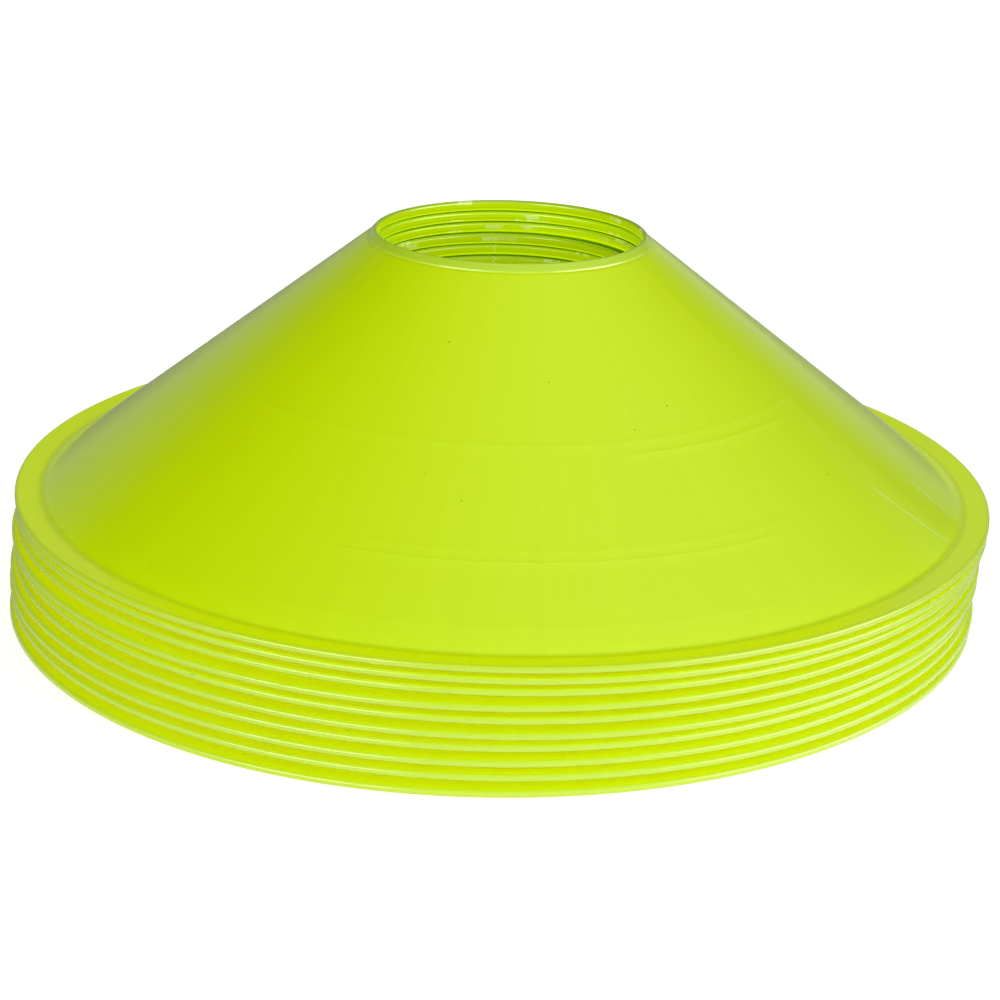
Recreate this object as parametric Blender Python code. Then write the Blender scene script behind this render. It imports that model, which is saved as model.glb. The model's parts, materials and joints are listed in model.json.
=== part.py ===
"""A nested stack of open-topped marker discs for sports drills.

Every disc is one moulding: a shallow cone with a wide hole at its top, a thick
lip round the hole, and a narrow flange round its foot that turns up a little at
the rim. The lips carry the stack: the underside of one lip rests on the top of
the lip below it, and keeps the cones from wedging together. The discs have some
play on each other, so each leans and slides a little on the one below.

Metres, +Z up. The origin is on the ground, under the middle of the whole stack.
"""

from math import atan2, cos, pi, sin, tan

import bmesh
import bpy
from mathutils import Euler, Matrix, Vector

# Sizes of one disc
RIM_RADIUS = 0.09525
DISC_HEIGHT = 0.0510
HOLE_RADIUS = 0.0254
WALL = 0.0012
FLANGE_WIDTH = 0.0053
RIM_TURN_UP = 0.0005
GROUND_LAND = 0.0020
LIP_BAND_WIDTH = 0.00196
LIP_BAND_RISE = 0.00135
LIP_TOP_WIDTH = 0.00080

# Rounded corners of the moulding
RIM_ROUND = 0.00045
LIP_ROUND = 0.00045

# How the discs nest
LIP_CLEARANCE = 0.0003
CONE_PLAY = 0.0006

# Fineness of the turned surface
TURN_STEPS = 48
CORNER_POINTS = 2

# Where the bottom disc stands, along X and Y, so that the stack is centred
BOTTOM_PLACE = (-0.00103, -0.00113)

# How each disc above the bottom one sits on its neighbour, from the second up.
# The four values are its lean about X and Y and its slide along X and Y, and 1
# is the whole play that the disc has there.
SEATS = [
    (-0.3, 0.4, 0.5, 0.7),
    (0.2, 0.2, -0.3, 0.4),
    (-0.1, 0.3, 0.2, 0.6),
    (0.4, 0.1, 0.8, -0.1),
    (-0.4, 0.1, 0.2, 0.4),
    (-0.2, -0.1, -0.4, -0.5),
    (-0.4, 0.3, 0.8, 0.5),
    (0.0, 0.4, 0.4, -0.7),
    (0.0, -0.2, -0.1, -0.8),
]

# Look of the plastic
PLASTIC_COLOUR = (0.58, 0.77, 0.0, 1.0)
PLASTIC_ROUGHNESS = 0.28

# Sizes that follow
FOOT_RADIUS = RIM_RADIUS - FLANGE_WIDTH
LIP_RADIUS = HOLE_RADIUS + LIP_BAND_WIDTH
LIP_TOP_RADIUS = HOLE_RADIUS + LIP_TOP_WIDTH
CONE_TOP = DISC_HEIGHT - LIP_BAND_RISE
CONE_SLOPE = atan2(CONE_TOP - WALL, FOOT_RADIUS - LIP_RADIUS)
WALL_UPRIGHT = WALL / cos(CONE_SLOPE)
LIP_HEIGHT = WALL_UPRIGHT + CONE_PLAY
NEST_PITCH = LIP_HEIGHT + LIP_CLEARANCE
WALL_GAP = NEST_PITCH - WALL_UPRIGHT
FULL_SLIDE = WALL_GAP / tan(CONE_SLOPE)
FULL_LEAN = WALL_GAP / (FOOT_RADIUS + (DISC_HEIGHT - WALL) * tan(CONE_SLOPE))


def radius_inside(height):
    """Radius of the cone's inner face at a height above the ground."""
    return FOOT_RADIUS - (height + WALL_UPRIGHT - WALL) / tan(CONE_SLOPE)


def rounded(before, corner, after, radius):
    """Points of the arc that rounds the corner between two straight runs."""
    back = (Vector(before) - Vector(corner)).normalized()
    ahead = (Vector(after) - Vector(corner)).normalized()
    half = back.angle(ahead) / 2
    centre = Vector(corner) + (back + ahead).normalized() * radius / sin(half)
    start = Vector(corner) + back * radius / tan(half) - centre
    end = Vector(corner) + ahead * radius / tan(half) - centre
    sweep = start.angle_signed(end)
    points = []
    for step in range(CORNER_POINTS):
        turn = Matrix.Rotation(-sweep * step / (CORNER_POINTS - 1), 2)
        points.append(centre + turn @ start)
    return points


def disc_outline():
    """The moulding's section as a closed ring of points, radius and height.

    Under the lip the inner face follows the next lip's outer face, moved out by
    the play, so two nested discs have the same play at the lip as on the cone.
    """
    lip_underside = DISC_HEIGHT - LIP_HEIGHT
    band_lean = (LIP_RADIUS - LIP_TOP_RADIUS) / LIP_BAND_RISE
    underside_radius = LIP_TOP_RADIUS + FULL_SLIDE - LIP_CLEARANCE * band_lean
    inner_crease = CONE_TOP - NEST_PITCH
    land_radius = radius_inside(0) + GROUND_LAND
    corners = [
        (underside_radius, lip_underside, 0),
        (radius_inside(inner_crease), inner_crease, 0),
        (radius_inside(0), 0, 0),
        (land_radius, 0, 0),
        (RIM_RADIUS, RIM_TURN_UP, 0),
        (RIM_RADIUS, RIM_TURN_UP + WALL, RIM_ROUND),
        (FOOT_RADIUS, WALL, 0),
        (LIP_RADIUS, CONE_TOP, 0),
        (LIP_TOP_RADIUS, DISC_HEIGHT, LIP_ROUND),
        (HOLE_RADIUS, DISC_HEIGHT, LIP_ROUND),
        (HOLE_RADIUS, lip_underside, 0),
    ]
    outline = []
    for i, (radius, height, corner_round) in enumerate(corners):
        corner = (radius, height)
        if corner_round:
            before = corners[i - 1][:2]
            after = corners[(i + 1) % len(corners)][:2]
            outline += rounded(before, corner, after, corner_round)
        else:
            outline.append(Vector(corner))
    return outline


def turned_mesh(name, outline):
    """A closed ring-shaped mesh: the outline turned once round the Z axis."""
    bm = bmesh.new()
    ring = [bm.verts.new((radius, 0, height)) for radius, height in outline]
    edges = [bm.edges.new((a, b)) for a, b in zip(ring, ring[1:] + ring[:1])]
    bmesh.ops.spin(
        bm,
        geom=ring + edges,
        cent=(0, 0, 0),
        axis=(0, 0, 1),
        angle=2 * pi,
        steps=TURN_STEPS,
        use_merge=True,
    )
    bmesh.ops.recalc_face_normals(bm, faces=bm.faces)
    mesh = bpy.data.meshes.new(name)
    bm.to_mesh(mesh)
    bm.free()
    mesh.shade_smooth()
    mesh.set_sharp_from_angle(angle=pi / 6)
    return mesh


def plastic(name):
    """Glossy fluorescent yellow-green moulded plastic."""
    material = bpy.data.materials.new(name)
    material.use_nodes = True
    shader = material.node_tree.nodes["Principled BSDF"]
    shader.inputs["Base Color"].default_value = PLASTIC_COLOUR
    shader.inputs["Roughness"].default_value = PLASTIC_ROUGHNESS
    shader.inputs["Metallic"].default_value = 0.0
    material.diffuse_color = PLASTIC_COLOUR
    return material


def seat_on_neighbour(lean_x, lean_y, slide_x, slide_y):
    """Placement of a disc on the one below it, leaning about its own lip."""
    lip_middle = Vector((0, 0, DISC_HEIGHT))
    lean = Euler((lean_x * FULL_LEAN, lean_y * FULL_LEAN, 0)).to_matrix().to_4x4()
    slide = Vector((slide_x * FULL_SLIDE, slide_y * FULL_SLIDE, NEST_PITCH))
    raised = Matrix.Translation(slide + lip_middle)
    return raised @ lean @ Matrix.Translation(-lip_middle)


def make_disc(number, outline, below):
    """One disc of the stack, its origin on its own axis at ground level."""
    name = f"disc_{number:02d}"
    disc = bpy.data.objects.new(name, turned_mesh(name, outline))
    disc.data.materials.append(plastic(f"{name}_plastic"))
    bpy.context.scene.collection.objects.link(disc)
    if below:
        disc.parent = below
        disc.matrix_basis = seat_on_neighbour(*SEATS[number - 2])
    else:
        disc.location = (*BOTTOM_PLACE, 0)
    return disc


def make_stack():
    outline = disc_outline()
    below = None
    for number in range(1, len(SEATS) + 2):
        below = make_disc(number, outline, below)


for old in list(bpy.data.objects):
    bpy.data.objects.remove(old)
make_stack()
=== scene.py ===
"""Looks of the nested stack of marker discs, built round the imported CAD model.

Each disc is modelled again as one fine turned moulding, with its rounded lip and
rim, its soft foot and its mould marks, and stands exactly where its CAD disc is.
Metres, +Z up, -Y towards the viewer. Angles round a disc are in degrees from the
side that faces the viewer, and grow towards the viewer's right. The top disc stands
like that, and each disc under it is turned further round.
"""

import json
from math import atan2, cos, pi, radians, sin, tan

import bmesh
import bpy
import numpy as np
from mathutils import Matrix, Vector

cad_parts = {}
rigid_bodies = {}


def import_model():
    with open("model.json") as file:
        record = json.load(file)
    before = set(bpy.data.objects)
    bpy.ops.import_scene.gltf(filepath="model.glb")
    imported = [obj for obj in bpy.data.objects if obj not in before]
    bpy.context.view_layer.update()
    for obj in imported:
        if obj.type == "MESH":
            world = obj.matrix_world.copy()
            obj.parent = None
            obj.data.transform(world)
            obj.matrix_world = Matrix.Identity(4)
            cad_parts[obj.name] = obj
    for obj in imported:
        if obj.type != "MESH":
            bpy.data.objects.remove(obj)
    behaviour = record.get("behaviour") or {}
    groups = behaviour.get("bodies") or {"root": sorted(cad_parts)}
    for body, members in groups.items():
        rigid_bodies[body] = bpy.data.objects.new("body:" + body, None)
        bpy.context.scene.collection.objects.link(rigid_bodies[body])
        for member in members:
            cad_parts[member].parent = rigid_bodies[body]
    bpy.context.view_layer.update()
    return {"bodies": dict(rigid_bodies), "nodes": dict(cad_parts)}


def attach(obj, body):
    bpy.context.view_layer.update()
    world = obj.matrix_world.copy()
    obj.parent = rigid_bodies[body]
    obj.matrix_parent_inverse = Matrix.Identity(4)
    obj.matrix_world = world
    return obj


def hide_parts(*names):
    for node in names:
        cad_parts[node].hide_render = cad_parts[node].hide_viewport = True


MM = 0.001

# Sizes of one moulding, as in the CAD part
RIM_RADIUS = 95.25 * MM
DISC_HEIGHT = 51.0 * MM
HOLE_RADIUS = 25.4 * MM
WALL = 1.2 * MM
FOOT_RADIUS = 89.95 * MM
RIM_TURN_UP = 0.5 * MM
GROUND_LAND = 2.0 * MM
LIP_RADIUS = 27.36 * MM
LIP_TOP_RADIUS = 26.2 * MM
CONE_TOP = 49.65 * MM
NEST_PITCH = 2.4175 * MM
LIP_UNDERSIDE = 48.8825 * MM
UNDERSIDE_RADIUS = 27.105 * MM

# Small step under the lip's band, cut into the CAD part's crease
STEP_FOOT = 27.80 * MM
STEP_RADIUS = 27.30 * MM
STEP_BOTTOM = 49.52 * MM
STEP_TOP = 49.80 * MM
STEP_TOP_RADIUS = 27.23 * MM
STEP_ROUND = 1.00 * MM

# Roundings that only the fine moulding has
RIM_TOP_ROUND = 0.5 * MM
RIM_BOTTOM_ROUND = 0.22 * MM
FOOT_ROUND = 2.2 * MM
FOOT_CREASE_ROUND = 1.5 * MM
CREASE_ROUND = 0.9 * MM
LIP_OUTER_ROUND = 0.42 * MM
LIP_INNER_ROUND = 0.60 * MM
LIP_BOTTOM_ROUND = 0.90 * MM
SMALL_ROUND = 0.15 * MM

# Fineness of the turned surface: steps round it, rows along its straight runs, the
# rows that hold the roundings' ends, and the length that only the cone's runs exceed
TURN_STEPS = 288
CONE_ROW = 3.0 * MM
SUPPORT = 0.12 * MM
LONG_RUN = 20 * MM

# Turn in degrees for each place in the stack, so that no two discs look the same
SPIN_STEP = 137.5

# Concentric mould marks on the cone: radius, height of the ridge, and the angles
# between which the mark shows
MOULD_MARKS = [
    (57.2 * MM, 0.020 * MM, -62, 74),
    (59.3 * MM, 0.036 * MM, 16, 64),
    (74.1 * MM, 0.016 * MM, -30, 48),
    (75.8 * MM, 0.027 * MM, -32, 46),
    (85.7 * MM, 0.012 * MM, -36, 40),
]
MARK_HALF_WIDTH = 0.16 * MM
MARK_SAMPLES = (-1.0, -0.5, 0.0, 0.5, 1.0)
MARK_FADE = 12

# Painted highlights of thin ridges on the cone, as pale lines: angle and radius in
# millimetres at both ends
PAINTED_HIGHLIGHT_LINES = [
    (64, 75, 69, 90),
    (81, 73.5, 83, 80),
    (76, 79, 76.5, 88.6),
]
HIGHLIGHT_LINE_EDGE = (0.30, 0.08)
HIGHLIGHT_LINE_FADE = 2

# Painted reflections on the hole's wall: pale blocks in rows, each row shifted by part of a
# block
PATCH_HEIGHT = 0.80 * MM
PATCH_ANGLE = 8
PATCH_SHIFT = 0.37
PATCH_CHOSEN = (0.935, 0.945)
PATCH_BREAKUP = (0.38, 0.52)
PATCH_BREAKUP_SCALE = 500.0

# A zigzag line of flash on the hole's wall, which sways to one side and back with
# the height
FLASH_X = -1.9 * MM
FLASH_TOOTH = 0.44 * MM
FLASH_SLANT = 1.7
FLASH_EDGE = (0.16 * MM, 0.05 * MM)
FLASH_BOTTOM = 59.3 * MM
FLASH_TOP = 63.3 * MM
FLASH_FADE = 0.2 * MM

# Specks, one at most in each cell. Their size and edge are in cells
SPECK_CELL = 3.0 * MM
SPECK_CHOSEN = (0.68, 1.0)
SPECK_SIZE = 0.08
SPECK_EDGE = 0.02

# Flow streaks and gloss
STREAK_ACROSS = 0.5
STREAK_ALONG = 0.02
CLOUD_SCALE = 60.0
GLOSS_ROUGHNESS = 0.12
CLOUDY_ROUGHNESS = 0.04
PATCH_ROUGHNESS = 0.12
PLASTIC_IOR = 1.49

# Zones of the moulding by radius in millimetres: where each starts, and where it is
# full
NEST_ZONE = (50, 75)
FLANGE_ZONE = (89.6, 91.2)
FLANGE_END = (95.1, 94.5)
RIM_ZONE = (94.3, 94.9)
LIP_ZONE = (27.6, 27.0)
UNDER_LIP_ZONE = (26.9, 26.4)
HOLE_WALL_ZONE = (26.10, 25.60)
HOLE_GLOW_ZONE = (25.85, 25.50)
# The flange's crease, which gets painted shade
FLANGE_CREASE = 89.75
FLANGE_CREASE_EDGE = (0.75, 0.15)

# Zones by the upward part of the surface's normal
UPRIGHT_FACE = (0.9, 0.0)
FACE_BELOW = (-0.1, -0.6)

# Painted glow of the fluorescent plastic, given by the material whatever the lamps, for
# the light that passes through the plastic, and weaker deep in the gaps as painted shade.
# The pairs give how open the surface is, from 1 to 0, where an effect starts and where
# it is full
GLOW_REACH = 4.0 * MM
CLOSED_GAP = (0.85, 0.15)
DEEP_GAP = (0.35, 0.05)
DEEP_GAP_LOSS = -0.45
NARROW_HOLE = (1.0, 0.55)
NARROW_HOLE_GAIN = 0.60
HOLE_GLOW_SHARE = 0.32
UNDER_LIP_SHARE = 0.75
PATCH_GLOW_LOSS = -0.4

# How strongly the marks show in the plastic: painted shade in the crease, streaks,
# pale painted highlights, painted reflections and flash, and specks
CREASE_SHADE_SHARE = 0.05
STREAK_SHARE = 0.018
PALE_MARK_SHARE = 0.6
SPECK_SHARE = 0.6

# Plastic, as linear colours
PLASTIC = (0.69, 0.95, 0.0, 1.0)
# Painted shade: the lip is darker
LIP_PAINTED_SHADE = (0.54, 0.79, 0.03, 1.0)
# Painted shade: the rims are darker
RIM_PAINTED_SHADE = (0.65, 0.90, 0.02, 1.0)
# Painted shade: the hole's wall is darker
WALL_PAINTED_SHADE = (0.38, 0.56, 0.0, 1.0)
# Pale of the painted highlights, painted reflections and flash
PALE_HIGHLIGHT_AND_FLASH = (0.85, 1.0, 0.45, 1.0)
# Dark of the specks and streaks, also painted shade in the flange's crease
SPECK_AND_CREASE_SHADE = (0.16, 0.20, 0.0, 1.0)
# Painted glows: in the gaps, on the open flange, and in the hole
PAINTED_GAP_GLOW = (0.168, 0.081, 0.002, 1.0)
PAINTED_FLANGE_GLOW = (0.16, 0.18, 0.0, 1.0)
PAINTED_WALL_GLOW = (0.56, 0.75, 0.0, 1.0)

# Camera, fitted to the rims, lips and outline in the photograph
IMAGE_SIZE = 1000
FOCAL_PIXELS = 2387.2
CAMERA_DISTANCE = 476.21 * MM
CAMERA_ELEVATION = 20.131
CAMERA_ROLL = -1.042
CAMERA_TARGET = Vector((0.528, -1.13, 17.825)) * MM
SENSOR_WIDTH = 36

CONE_SLOPE = atan2(CONE_TOP - WALL, FOOT_RADIUS - LIP_RADIUS)
WALL_UPRIGHT = WALL / cos(CONE_SLOPE)


# Shape of one moulding


def arc(before, corner, after, radius, count):
    """Points of the arc that rounds the corner between two straight runs."""
    back = (Vector(before) - Vector(corner)).normalized()
    ahead = (Vector(after) - Vector(corner)).normalized()
    half = back.angle(ahead) / 2
    centre = Vector(corner) + (back + ahead).normalized() * radius / sin(half)
    start = Vector(corner) + back * radius / tan(half) - centre
    end = Vector(corner) + ahead * radius / tan(half) - centre
    sweep = start.angle_signed(end)
    turns = [Matrix.Rotation(-sweep * i / (count - 1), 2) for i in range(count)]
    return [centre + turn @ start for turn in turns]


def radius_inside(height):
    """Radius of the cone's inner face at a height above the ground."""
    return FOOT_RADIUS - (height + WALL_UPRIGHT - WALL) / tan(CONE_SLOPE)


def outline_corners():
    """Corners of the moulding's section: radius, height, rounding, arc points."""
    inner_crease = CONE_TOP - NEST_PITCH
    land_radius = radius_inside(0) + GROUND_LAND
    return [
        (UNDERSIDE_RADIUS, LIP_UNDERSIDE, SMALL_ROUND, 3),
        (radius_inside(inner_crease), inner_crease, CREASE_ROUND, 4),
        (radius_inside(0), 0, SMALL_ROUND, 3),
        (land_radius, 0, FOOT_ROUND, 4),
        (RIM_RADIUS, RIM_TURN_UP, RIM_BOTTOM_ROUND, 6),
        (RIM_RADIUS, RIM_TURN_UP + WALL, RIM_TOP_ROUND, 9),
        (FOOT_RADIUS, WALL, FOOT_CREASE_ROUND, 9),
        (STEP_FOOT, WALL + (FOOT_RADIUS - STEP_FOOT) * tan(CONE_SLOPE), STEP_ROUND, 4),
        (STEP_RADIUS, STEP_BOTTOM, SMALL_ROUND / 2, 4),
        (STEP_TOP_RADIUS, STEP_TOP, SMALL_ROUND / 2, 4),
        (LIP_TOP_RADIUS, DISC_HEIGHT, LIP_OUTER_ROUND, 7),
        (HOLE_RADIUS, DISC_HEIGHT, LIP_INNER_ROUND, 8),
        (HOLE_RADIUS, LIP_UNDERSIDE, LIP_BOTTOM_ROUND, 9),
    ]


def run_between(start, end):
    """Points inside a straight run, close to both its ends and evenly between."""
    run = end - start
    length = run.length
    if length < 4 * SUPPORT:
        return []
    steps = max(1, round((length - 2 * SUPPORT) / CONE_ROW))
    inner = [SUPPORT + (length - 2 * SUPPORT) * i / steps for i in range(steps + 1)]
    on_cone = start.x > end.x and length > LONG_RUN
    if on_cone:
        side = run.normalized()
        for mark in MOULD_MARKS:
            middle = (mark[0] - start.x) / side.x
            inner += [middle + place * MARK_HALF_WIDTH for place in MARK_SAMPLES]
        inner.sort()
    return [start + run * (distance / length) for distance in inner]


def disc_outline():
    """The section as a closed ring of points, radius and height."""
    corners = outline_corners()
    arcs = []
    for i, (radius, height, rounding, count) in enumerate(corners):
        before = corners[i - 1][:2]
        after = corners[(i + 1) % len(corners)][:2]
        arcs.append(arc(before, (radius, height), after, rounding, count))
    outline = []
    for i, points in enumerate(arcs):
        outline += points
        outline += run_between(points[-1], arcs[(i + 1) % len(arcs)][0])
    return np.array(outline)


def smooth(value):
    """Soft rise from 0 to 1 while the value goes from 0 to 1."""
    value = np.clip(value, 0, 1)
    return value * value * (3 - 2 * value)


def mark_heights(radius, angle):
    """Height of the mould marks at points of the cone's outer face."""
    total = np.zeros(np.broadcast(radius, angle).shape)
    for mark_radius, height, first, last in MOULD_MARKS:
        across = np.clip(1 - np.abs(radius - mark_radius) / MARK_HALF_WIDTH, 0, 1)
        along = smooth((angle - first) / MARK_FADE) * smooth((last - angle) / MARK_FADE)
        total += height * across * along
    return total


def turned_points(outline, spin):
    """The outline turned once round the Z axis, with its mould marks raised."""
    angles = np.arange(TURN_STEPS) * 360 / TURN_STEPS - 180
    radius = np.tile(outline[:, 0], (TURN_STEPS, 1))
    height = np.tile(outline[:, 1], (TURN_STEPS, 1))
    cone_line = WALL + (FOOT_RADIUS - radius) * tan(CONE_SLOPE)
    on_cone = (np.abs(height - cone_line) < SUPPORT / 4) & (radius < FOOT_RADIUS)
    raised = np.where(on_cone, mark_heights(radius, angles[:, None]), 0)
    radius = radius + raised * sin(CONE_SLOPE)
    height = height + raised * cos(CONE_SLOPE)
    turn = np.radians(angles[:, None] + spin)
    points = np.stack([radius * np.sin(turn), -radius * np.cos(turn), height], -1)
    return points.reshape(-1, 3)


def turned_faces(outline):
    """The faces of the turned outline, and their corners' map coordinates.

    The map runs round the disc along U, and holds the radius along V.
    """
    count = len(outline)
    share = outline[:, 0] / RIM_RADIUS
    faces, corners = [], []
    for step in range(TURN_STEPS):
        here, there = step * count, (step + 1) % TURN_STEPS * count
        near, far = step / TURN_STEPS, (step + 1) / TURN_STEPS
        for i in range(count):
            j = (i + 1) % count
            faces.append((here + i, here + j, there + j, there + i))
            corners += [(near, share[i]), (near, share[j]), (far, share[j]), (far, share[i])]
    return faces, corners


def disc_mesh(name, outline, spin):
    """Mesh of one moulding, with the angle and radius in its map."""
    faces, corners = turned_faces(outline)
    mesh = bpy.data.meshes.new(name)
    mesh.from_pydata(turned_points(outline, spin).tolist(), [], faces)
    around = mesh.uv_layers.new(name="around")
    around.uv.foreach_set("vector", np.array(corners, "f").ravel())
    mesh.shade_smooth()
    mesh.update()
    return mesh


# Where the CAD discs are


def axis_placement(node, ground_offset=None):
    """Placement of a turned CAD disc, from its volume's middle and its flat axis.

    The ground offset is the height of that middle above the disc's foot. It is read
    from the bottom disc, which stands level on the ground, and is the same in all.
    """
    mesh = node.data
    mesh.calc_loop_triangles()
    co = np.array([v.co for v in mesh.vertices], float)
    tri = np.array([t.vertices for t in mesh.loop_triangles])
    a, b, c = co[tri[:, 0]], co[tri[:, 1]], co[tri[:, 2]]
    det = np.einsum("ij,ij->i", a, np.cross(b, c))
    total = a + b + c
    middle = (det[:, None] * total).sum(0) / 4 / det.sum()
    spread = sum(np.einsum("i,ij,ik->jk", det, p, p) for p in (total, a, b, c)) / 20
    spread = spread / det.sum() - np.outer(middle, middle)
    values, vectors = np.linalg.eigh(spread)
    axis = vectors[:, 0] * np.sign(vectors[2, 0])
    if ground_offset is None:
        ground_offset = middle[2]
    origin = Vector(middle - axis * ground_offset)
    lean = Vector((0, 0, 1)).rotation_difference(Vector(axis))
    return Matrix.Translation(origin) @ lean.to_matrix().to_4x4(), ground_offset


# Materials


class Nodes:
    """Small helper that adds linked nodes to a node tree."""

    def __init__(self, tree):
        self.tree = tree

    def add(self, kind, inputs=(), **settings):
        node = self.tree.nodes.new(kind)
        for key, value in settings.items():
            setattr(node, key, value)
        for key, value in dict(inputs).items():
            if isinstance(value, bpy.types.NodeSocket):
                self.tree.links.new(value, node.inputs[key])
            else:
                node.inputs[key].default_value = value
        return node

    def math(self, operation, *values, clamp=False):
        inputs = dict(enumerate(values))
        node = self.add("ShaderNodeMath", inputs, operation=operation, use_clamp=clamp)
        return node.outputs[0]

    def product(self, *values):
        total = values[0]
        for value in values[1:]:
            total = self.math("MULTIPLY", total, value)
        return total

    def step(self, value, start, end):
        """0 before start, 1 after end and a straight line between."""
        rise = self.math("SUBTRACT", value, start)
        return self.math("DIVIDE", rise, end - start, clamp=True)

    def mix(self, share, first, second):
        """First colour where the share is 0, second where it is 1."""
        inputs = {"Factor": share, 6: first, 7: second}
        return self.add("ShaderNodeMix", inputs, data_type="RGBA").outputs[2]

    def ramp(self, value, stops, low, high):
        """Value through straight lines between (position, height) stops.

        A new curve has two points already, which become the first two stops.
        """
        spread = high - low
        scaled = self.math("DIVIDE", self.math("SUBTRACT", value, low), spread, clamp=True)
        curve = self.add("ShaderNodeFloatCurve", {"Value": scaled})
        points = curve.mapping.curves[0].points
        for i, (x, y) in enumerate(stops):
            place = ((x - low) / spread, y)
            if i < 2:
                points[-1 if i else 0].location = place
            else:
                points.new(*place)
        for point in points:
            point.handle_type = "VECTOR"
        curve.mapping.update()
        return curve.outputs[0]


def painted_hole_glow(n, radius, openness, reflection_patches):
    """Strength of the painted glow in the hole, and where the undersides of the lips are."""
    narrow = n.step(openness, *NARROW_HOLE)
    through_wall = n.math("MULTIPLY_ADD", narrow, NARROW_HOLE_GAIN, HOLE_GLOW_SHARE)
    # The painted glow is weaker on the blocks of painted reflection
    patch_glow_cut = n.math("MULTIPLY_ADD", reflection_patches, PATCH_GLOW_LOSS, 1.0)
    normal = n.add("ShaderNodeNewGeometry").outputs["Normal"]
    upward = n.add("ShaderNodeSeparateXYZ", {0: normal}).outputs[2]
    upright = n.step(upward, *UPRIGHT_FACE)
    on_wall = n.product(through_wall, n.step(radius, *HOLE_GLOW_ZONE), patch_glow_cut, upright)
    faces_down = n.step(upward, *FACE_BELOW)
    under_lip = n.product(faces_down, n.step(radius, *UNDER_LIP_ZONE))
    # Painted glow that lights the undersides of the lips
    below = n.math("MULTIPLY", under_lip, UNDER_LIP_SHARE)
    return n.math("MAXIMUM", on_wall, below), under_lip


def painted_glow(n, radius, hole_wall, reflection_patches):
    """Strength and colour of a painted glow, for light the plastic carries to its edges.

    It shows where the flanges nest closely, on the open flange and in the hole.
    """
    reach = {"Distance": GLOW_REACH}
    openness = n.add("ShaderNodeAmbientOcclusion", reach, samples=4).outputs["AO"]
    closed = n.step(openness, *CLOSED_GAP)
    # The painted glow is weaker deep in the gaps, as painted shade
    deep = n.math("MULTIPLY_ADD", n.step(openness, *DEEP_GAP), DEEP_GAP_LOSS, 1.0)
    in_gap = n.product(closed, deep, n.step(radius, *NEST_ZONE))
    on_flange = n.product(n.step(radius, *FLANGE_ZONE), n.step(radius, *FLANGE_END))
    in_hole, under_lip = painted_hole_glow(n, radius, openness, reflection_patches)
    strength = n.math("MAXIMUM", n.math("MAXIMUM", in_gap, on_flange), in_hole)
    colour = n.mix(closed, PAINTED_FLANGE_GLOW, PAINTED_GAP_GLOW)
    inside = n.math("MAXIMUM", hole_wall, under_lip)
    return strength, n.mix(inside, colour, PAINTED_WALL_GLOW)


def painted_reflection_patches(n, angle, place, hole_wall):
    """Pale blocks of painted reflection, scattered on the hole's wall."""
    height = n.add("ShaderNodeSeparateXYZ", {0: place}).outputs[2]
    row = n.math("FLOOR", n.math("DIVIDE", height, PATCH_HEIGHT))
    along = n.math("DIVIDE", angle, PATCH_ANGLE)
    column = n.math("MULTIPLY_ADD", row, PATCH_SHIFT, along)
    cell = n.add("ShaderNodeCombineXYZ", {0: n.math("FLOOR", column), 1: row}).outputs[0]
    chosen = n.add("ShaderNodeTexWhiteNoise", {"Vector": cell}).outputs["Value"]
    noise = {"Vector": place, "Scale": PATCH_BREAKUP_SCALE}
    breakup = n.add("ShaderNodeTexNoise", noise).outputs[0]
    return n.product(n.step(chosen, *PATCH_CHOSEN), n.step(breakup, *PATCH_BREAKUP), hole_wall)


def zigzag_flash(n, place, hole_wall):
    """Thin zigzag line of flash at the back of the hole."""
    x, y, z = n.add("ShaderNodeSeparateXYZ", {0: place}).outputs[:3]
    sway = n.math("MULTIPLY_ADD", n.math("PINGPONG", z, FLASH_TOOTH), FLASH_SLANT, FLASH_X)
    off = n.math("ABSOLUTE", n.math("SUBTRACT", x, sway))
    above = n.step(z, FLASH_BOTTOM, FLASH_BOTTOM + FLASH_FADE)
    below = n.step(z, FLASH_TOP, FLASH_TOP - FLASH_FADE)
    at_back = n.step(y, 0.0, 1 * MM)
    return n.product(n.step(off, *FLASH_EDGE), above, below, at_back, hole_wall)


def painted_highlight_lines(n, angle, radius):
    """Painted highlights: thin pale lines that run up the cone."""
    total = 0.0
    for first_angle, first, last_angle, last in PAINTED_HIGHLIGHT_LINES:
        lean = (last_angle - first_angle) / (last - first)
        on_line = n.math("MULTIPLY_ADD", n.math("SUBTRACT", radius, first), lean, first_angle)
        off = n.math("ABSOLUTE", n.math("SUBTRACT", angle, on_line))
        off = n.product(off, radius, pi / 180)
        lower = n.step(radius, last, last - HIGHLIGHT_LINE_FADE)
        upper = n.step(radius, first, first + HIGHLIGHT_LINE_FADE)
        line = n.product(n.step(off, *HIGHLIGHT_LINE_EDGE), upper, lower)
        total = n.math("MAXIMUM", total, line)
    return total


def specks(n, place):
    """Tiny dark specks, scattered about."""
    cells = n.add("ShaderNodeTexVoronoi", {"Vector": place, "Scale": 1 / SPECK_CELL})
    chosen = n.add("ShaderNodeSeparateColor", {0: cells.outputs["Color"]}).outputs[0]
    size = n.product(n.step(chosen, *SPECK_CHOSEN), SPECK_SIZE)
    return n.step(n.math("SUBTRACT", size, cells.outputs["Distance"]), 0.0, SPECK_EDGE)


def flow_streaks(n, angle, radius):
    """Faint streaks that run up the cone, left by the plastic's flow."""
    across = n.math("MULTIPLY", angle, STREAK_ACROSS)
    along = n.math("MULTIPLY", radius, STREAK_ALONG)
    streak = n.add("ShaderNodeCombineXYZ", {0: across, 1: along}).outputs[0]
    flow = n.add("ShaderNodeTexNoise", {"Vector": streak, "Scale": 1.0, "Detail": 3.0})
    return n.step(flow.outputs[0], 0.35, 0.65)


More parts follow.
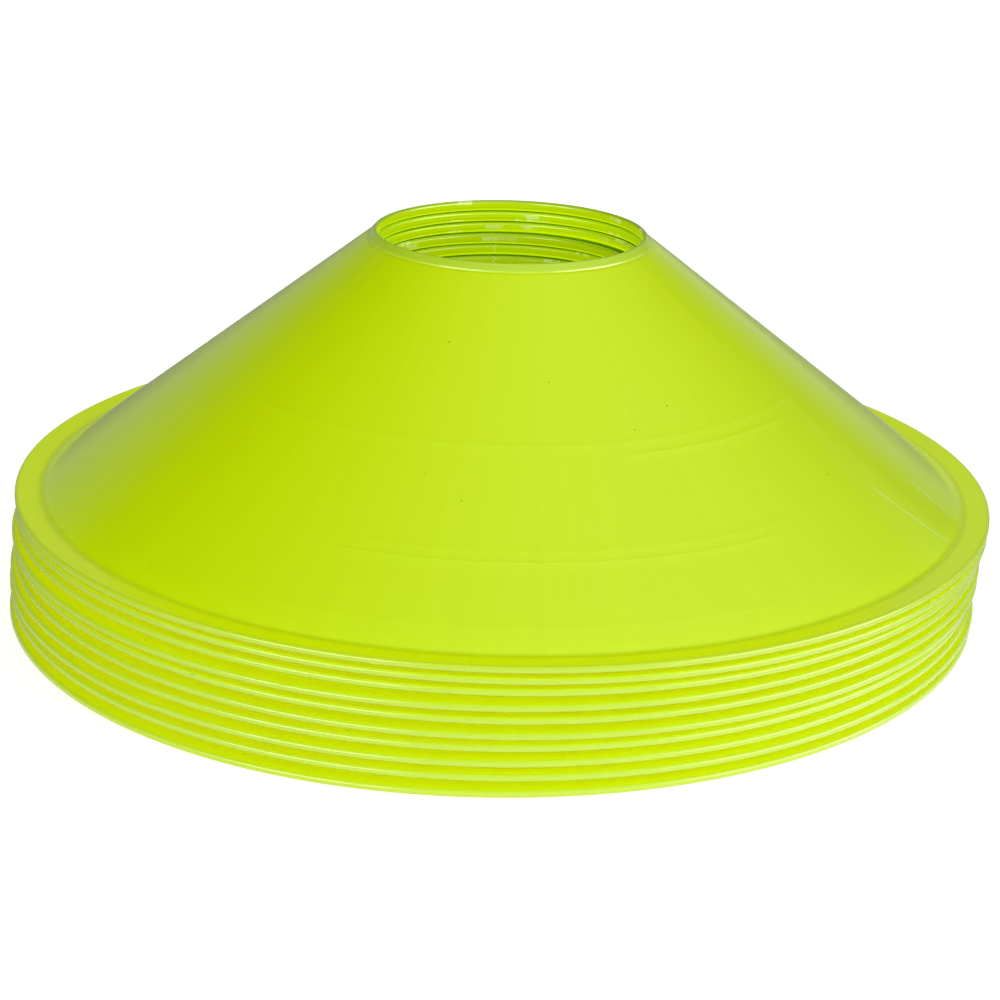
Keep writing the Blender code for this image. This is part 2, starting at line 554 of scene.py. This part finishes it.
def plastic_colour(n, angle, radius, place, hole_wall, reflection_patches):
    """Colour of the plastic by its zones, with painted shade, under its streaks, painted
    highlights and reflections, flash and specks.
    """
    # Painted shade: darker on the lip
    colour = n.mix(n.step(radius, *LIP_ZONE), PLASTIC, LIP_PAINTED_SHADE)
    # Painted shade: darker on the hole's wall
    colour = n.mix(hole_wall, colour, WALL_PAINTED_SHADE)
    # Painted shade: darker on the rims
    colour = n.mix(n.step(radius, *RIM_ZONE), colour, RIM_PAINTED_SHADE)
    # Painted shade: a little darker in the flange's crease
    off_crease = n.math("ABSOLUTE", n.math("SUBTRACT", radius, FLANGE_CREASE))
    crease = n.step(off_crease, *FLANGE_CREASE_EDGE)
    colour = n.mix(n.product(crease, CREASE_SHADE_SHARE), colour, SPECK_AND_CREASE_SHADE)
    streaks = flow_streaks(n, angle, radius)
    colour = n.mix(n.product(streaks, STREAK_SHARE), colour, SPECK_AND_CREASE_SHADE)
    # Painted highlights of thin ridges on the cone, as pale lines
    lines = painted_highlight_lines(n, angle, radius)
    lines = n.math("MAXIMUM", lines, zigzag_flash(n, place, hole_wall))
    # Pale: painted highlights and painted reflections, with the flash
    pale_marks = n.math("MAXIMUM", reflection_patches, lines)
    colour = n.mix(n.product(pale_marks, PALE_MARK_SHARE), colour, PALE_HIGHLIGHT_AND_FLASH)
    return n.mix(n.product(specks(n, place), SPECK_SHARE), colour, SPECK_AND_CREASE_SHADE)


def plastic_roughness(n, place, reflection_patches):
    """Gloss that varies a little from place to place, and is duller on blocks of painted
    reflection.
    """
    noise = {"Vector": place, "Scale": CLOUD_SCALE, "Detail": 4.0}
    cloudy = n.step(n.add("ShaderNodeTexNoise", noise).outputs[0], 0.3, 0.7)
    roughness = n.math("MULTIPLY_ADD", cloudy, CLOUDY_ROUGHNESS, GLOSS_ROUGHNESS)
    return n.math("MULTIPLY_ADD", reflection_patches, PATCH_ROUGHNESS, roughness)


def plastic_material():
    """Glossy fluorescent yellow-green plastic, with specks, flow lines and flash, and with
    painted shade, painted highlights, painted reflections and a painted glow.
    """
    material = bpy.data.materials.new("disc_plastic")
    material.use_nodes = True
    links = material.node_tree.links
    shader = material.node_tree.nodes["Principled BSDF"]
    n = Nodes(material.node_tree)
    around = n.add("ShaderNodeUVMap", uv_map="around").outputs[0]
    turn, share = n.add("ShaderNodeSeparateXYZ", {0: around}).outputs[:2]
    angle = n.math("MULTIPLY_ADD", turn, 360.0, -180.0)
    radius = n.math("MULTIPLY", share, RIM_RADIUS / MM)
    place = n.add("ShaderNodeTexCoord").outputs["Object"]
    hole_wall = n.step(radius, *HOLE_WALL_ZONE)
    # Blocks of painted reflection on the hole's wall
    reflection_patches = painted_reflection_patches(n, angle, place, hole_wall)
    strength, painted_glow_colour = painted_glow(n, radius, hole_wall, reflection_patches)
    colour = plastic_colour(n, angle, radius, place, hole_wall, reflection_patches)
    # The plastic gives a painted glow of its own, whatever the lamps
    links.new(painted_glow_colour, shader.inputs["Emission Color"])
    links.new(strength, shader.inputs["Emission Strength"])
    links.new(colour, shader.inputs["Base Color"])
    links.new(plastic_roughness(n, place, reflection_patches), shader.inputs["Roughness"])
    shader.inputs["IOR"].default_value = PLASTIC_IOR
    return material


# The studio


def direction(azimuth, elevation):
    """Unit vector towards an azimuth and an elevation in degrees."""
    a, e = radians(azimuth), radians(elevation)
    return Vector((cos(e) * sin(a), -cos(e) * cos(a), sin(e)))


# The bank of light at the front right. Its strength falls off with the angle from
# its middle, which is in degrees, as the spread is
BANK = dict(azimuth=35.4, elevation=22.4, strength=1.356, spread=67.4, power=2.916)

# The paper sweep behind the stack, by azimuth from the back and by elevation
SWEEP_BY_AZIMUTH = [
    (-180, 0), (-50.5, 0), (-50, 0.06), (-39, 0.19), (-30, 0.28), (-20, 0.30), (-14, 0.27),
    (0, 0.35), (14, 0.45), (20, 0.5), (30, 0.33), (35, 0.22), (35.5, 0), (180, 0),
]
SWEEP_BY_ELEVATION = [(-90, 1), (5, 1), (12, 0.85), (20, 0.5), (30, 0.35), (45, 0), (90, 0)]

# The light from the front that falls on the stack
FRONT_BY_AZIMUTH = [
    (-180, 0), (-130, 0.05), (-90, 0.38), (-60, 0.58), (-30, 0.85), (30, 0.95), (60, 1.0),
    (90, 0.65), (120, 0.06), (145, 0), (180, 0),
]
FRONT_BY_ELEVATION = [(-90, 1), (25, 1), (40, 0), (90, 0)]
FRONT_STRENGTH = 0.6

# The bright strips at the front that the plastic mirrors, on the tent
MIRRORED_BY_AZIMUTH = [
    (-180, 0), (-120, 0.02), (-75, 0.06), (-60, 0.2), (-52, 1), (-24, 1), (-14, 0.05),
    (0, 0.03), (34, 0.05), (46, 1), (90, 1), (100, 0.1), (145, 0), (180, 0),
]
MIRRORED_BY_ELEVATION = [(-90, 1), (18, 1), (26, 0.06), (40, 0), (90, 0)]
MIRRORED_STRENGTH = 9.5
TENT_RADIUS = 1.9

# The floor: its grey, and what the plastic mirrors of it by azimuth and by distance
FLOOR_GREY = 0.45
FLOOR_GLOW = 3.6
FLOOR_GLOW_BY_AZIMUTH = [
    (-180, 0.06), (-107, 0.08), (-81, 0.14), (-61, 0.28), (-41, 0.52), (-20, 0.64),
    (0, 0.78), (20, 0.9), (41, 1.0), (61, 0.62), (81, 0.2), (107, 0.14), (180, 0.06),
]
FLOOR_GLOW_BY_DISTANCE = [(0, 0), (0.088, 0), (0.1, 1), (0.17, 1), (0.24, 0.12), (2, 0.08)]
BACKDROP_GLOW = 0.25
BACKDROP_AZIMUTH = (115, 150)
BACKDROP_DISTANCE = (0.12, 0.3)
FLOOR_HALF = 4.0
FLOOR_SEEN = (0.6, 0.6, 0.6, 1)
FLOOR_LIFT = 0.75
WHITE = (1, 1, 1, 1)

# Softboxes low round the stack: azimuth and elevation of both ends, height, strength,
# and whether the plastic mirrors them
SOFTBOX_DISTANCE = 1.5
SOFTBOXES = {
    "softbox_left": ((-78, 10), (-20, 10), 0.20, 5.6, True),
    "softbox_right": ((48, 9), (100, 6), 0.20, 2.8, True),
    "softbox_back": ((160, 12), (200, 12), 0.30, 5.9, False),
}


def placed(name, data):
    """A new object in the scene."""
    item = bpy.data.objects.new(name, data)
    bpy.context.scene.collection.objects.link(item)
    return item


def empty_material(name):
    """A material whose nodes are still to be added."""
    material = bpy.data.materials.new(name)
    material.use_nodes = True
    material.node_tree.nodes.clear()
    return material


def seen_directly(n, path):
    """1 for rays from the camera, also through glass, and 0 for the others."""
    return n.math("MAXIMUM", path["Is Camera Ray"], path["Is Transmission Ray"])


def azimuth_of(n, axes):
    """Angle round the stack from the side that faces the viewer, in degrees."""
    to_front = n.math("MULTIPLY", axes[1], -1.0)
    return n.math("DEGREES", n.math("ARCTAN2", axes[0], to_front))


def bank_light(n, view):
    """Strength of the big bank of light at the front right, from a direction."""
    to_bank = tuple(direction(BANK["azimuth"], BANK["elevation"]))
    dot = n.add("ShaderNodeVectorMath", {0: view, 1: to_bank}, operation="DOT_PRODUCT")
    angle = n.math("ARCCOSINE", dot.outputs["Value"])
    ratio = n.math("DIVIDE", angle, radians(BANK["spread"]))
    fall = n.math("MULTIPLY", n.math("POWER", ratio, BANK["power"]), -1.0)
    return n.math("MULTIPLY", n.math("EXPONENT", fall), BANK["strength"])


def studio_light(n, view, by_azimuth, by_elevation, front_strength):
    """Strength of the studio's light from a direction: bank light, front and sweep."""
    axes = n.add("ShaderNodeSeparateXYZ", {0: view}).outputs
    rise = n.math("DEGREES", n.math("ARCSINE", axes[2]))
    from_back = n.math("DEGREES", n.math("ARCTAN2", axes[0], axes[1]))
    sweep = n.product(
        n.ramp(from_back, SWEEP_BY_AZIMUTH, -180, 180),
        n.ramp(rise, SWEEP_BY_ELEVATION, -90, 90),
    )
    front = n.product(
        n.ramp(azimuth_of(n, axes), by_azimuth, -180, 180),
        n.ramp(rise, by_elevation, -90, 90),
        front_strength,
    )
    return n.math("ADD", n.math("ADD", bank_light(n, view), sweep), front)


def studio_world():
    """The studio's light on the stack, and plain white behind it."""
    world = bpy.data.worlds.new("studio")
    bpy.context.scene.world = world
    world.use_nodes = True
    world.node_tree.nodes.clear()
    n = Nodes(world.node_tree)
    view = n.add("ShaderNodeTexCoord").outputs["Generated"]
    light = studio_light(n, view, FRONT_BY_AZIMUTH, FRONT_BY_ELEVATION, FRONT_STRENGTH)
    studio = n.add("ShaderNodeBackground", {"Strength": light})
    white = n.add("ShaderNodeBackground", {"Color": WHITE, "Strength": 1.0})
    path = n.add("ShaderNodeLightPath").outputs
    seen = n.math("MAXIMUM", seen_directly(n, path), path["Is Glossy Ray"])
    shares = {0: seen, 1: studio.outputs[0], 2: white.outputs[0]}
    mixed = n.add("ShaderNodeMixShader", shares)
    n.add("ShaderNodeOutputWorld", {"Surface": mixed.outputs[0]})


def light_tent():
    """The tent round the stack: what the glossy plastic mirrors of the studio."""
    mesh = bpy.data.meshes.new("tent")
    bm = bmesh.new()
    bmesh.ops.create_icosphere(bm, subdivisions=4, radius=TENT_RADIUS)
    bm.to_mesh(mesh)
    bm.free()
    tent = placed("tent", mesh)
    material = empty_material("tent")
    material.cycles.emission_sampling = "NONE"
    n = Nodes(material.node_tree)
    place = n.add("ShaderNodeTexCoord").outputs["Object"]
    view = n.add("ShaderNodeVectorMath", {0: place}, operation="NORMALIZE").outputs[0]
    mirrored = (MIRRORED_BY_AZIMUTH, MIRRORED_BY_ELEVATION, MIRRORED_STRENGTH)
    cloth = n.add("ShaderNodeEmission", {"Strength": studio_light(n, view, *mirrored)})
    n.add("ShaderNodeOutputMaterial", {"Surface": cloth.outputs[0]})
    mesh.materials.append(material)
    tent.visible_camera = False
    tent.visible_diffuse = False
    tent.visible_transmission = False
    tent.visible_shadow = False


def softbox(name, start, end, height, radiance, mirrored):
    """A long soft light that faces the stack, between two directions."""
    first = direction(*start) * SOFTBOX_DISTANCE
    last = direction(*end) * SOFTBOX_DISTANCE
    along = (last - first).normalized()
    back = (first + last).normalized()
    light = bpy.data.lights.new(name, "AREA")
    light.shape = "RECTANGLE"
    light.size = (last - first).length
    light.size_y = height
    light.energy = radiance * pi * light.size * light.size_y
    lamp = placed(name, light)
    turn = Matrix((along, back.cross(along), back)).transposed().to_4x4()
    lamp.matrix_world = Matrix.Translation((first + last) / 2) @ turn
    lamp.visible_camera = False
    lamp.visible_glossy = mirrored


def floor_mirrored(n):
    """What glossy plastic mirrors of the floor: its lit front and the backdrop."""
    place = n.add("ShaderNodeTexCoord").outputs["Object"]
    far = n.add("ShaderNodeVectorMath", {0: place}, operation="LENGTH").outputs["Value"]
    azimuth = azimuth_of(n, n.add("ShaderNodeSeparateXYZ", {0: place}).outputs)
    lit = n.product(
        n.ramp(azimuth, FLOOR_GLOW_BY_AZIMUTH, -180, 180),
        n.ramp(far, FLOOR_GLOW_BY_DISTANCE, 0, 2),
        FLOOR_GLOW,
    )
    behind = n.step(n.math("ABSOLUTE", azimuth), *BACKDROP_AZIMUTH)
    backdrop = n.product(behind, n.step(far, *BACKDROP_DISTANCE), BACKDROP_GLOW)
    return n.add("ShaderNodeEmission", {"Strength": n.math("ADD", lit, backdrop)})


def floor_material():
    """Pale, and white to the camera apart from the soft shadow."""
    material = empty_material("floor")
    n = Nodes(material.node_tree)
    path = n.add("ShaderNodeLightPath").outputs
    pale = n.add("ShaderNodeBsdfDiffuse", {"Color": FLOOR_SEEN})
    lift = n.add("ShaderNodeEmission", {"Color": WHITE, "Strength": FLOOR_LIFT})
    white = n.add("ShaderNodeAddShader", {0: pale.outputs[0], 1: lift.outputs[0]})
    grey = n.add("ShaderNodeBsdfDiffuse", {"Color": (FLOOR_GREY,) * 3 + (1,)})
    mirrored = floor_mirrored(n)
    shares = {0: path["Is Glossy Ray"], 1: grey.outputs[0], 2: mirrored.outputs[0]}
    unseen = n.add("ShaderNodeMixShader", shares)
    shares = {0: seen_directly(n, path), 1: unseen.outputs[0], 2: white.outputs[0]}
    mixed = n.add("ShaderNodeMixShader", shares)
    n.add("ShaderNodeOutputMaterial", {"Surface": mixed.outputs[0]})
    return material


def studio_floor():
    """A wide pale floor that the stack stands on."""
    mesh = bpy.data.meshes.new("floor")
    half = FLOOR_HALF
    corners = [(-half, -half, 0), (half, -half, 0), (half, half, 0), (-half, half, 0)]
    mesh.from_pydata(corners, [], [(0, 1, 2, 3)])
    mesh.materials.append(floor_material())
    floor = placed("floor", mesh)


def photo_camera():
    """The camera, with the photograph's place, tilt, roll and lens."""
    e, roll = radians(CAMERA_ELEVATION), radians(CAMERA_ROLL)
    back = Vector((0, -cos(e), sin(e)))
    right = Vector((1, 0, 0))
    up = Vector((0, sin(e), cos(e)))
    camera = placed("camera", bpy.data.cameras.new("camera"))
    x_axis = right * cos(roll) - up * sin(roll)
    y_axis = right * sin(roll) + up * cos(roll)
    turn = Matrix((x_axis, y_axis, back)).transposed().to_4x4()
    camera.matrix_world = Matrix.Translation(CAMERA_TARGET + back * CAMERA_DISTANCE) @ turn
    camera.data.sensor_width = SENSOR_WIDTH
    camera.data.lens = FOCAL_PIXELS / IMAGE_SIZE * SENSOR_WIDTH
    camera.data.clip_start = 0.01
    bpy.context.scene.camera = camera


# The scene


def dress_disc(number, spin, outline, placement, plastic):
    """The fine moulding that takes the place of one CAD disc."""
    name = f"moulding_{number:02d}"
    disc = placed(name, disc_mesh(name, outline, spin))
    disc.data.transform(placement)
    disc.data.materials.append(plastic)
    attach(disc, f"disc_{number:02d}")
    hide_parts(f"disc_{number:02d}")


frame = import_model()

outline = disc_outline()
plastic = plastic_material()
top = len(frame["bodies"])
ground_offset = None
for number in range(1, top + 1):
    node = frame["nodes"][f"disc_{number:02d}"]
    placement, ground_offset = axis_placement(node, ground_offset)
    spin = 0 if number == top else SPIN_STEP * number
    dress_disc(number, spin, outline, placement, plastic)

studio_world()
light_tent()
studio_floor()
for name, box in SOFTBOXES.items():
    softbox(name, *box)
photo_camera()

view = bpy.context.scene.view_settings
view.view_transform = "Standard"
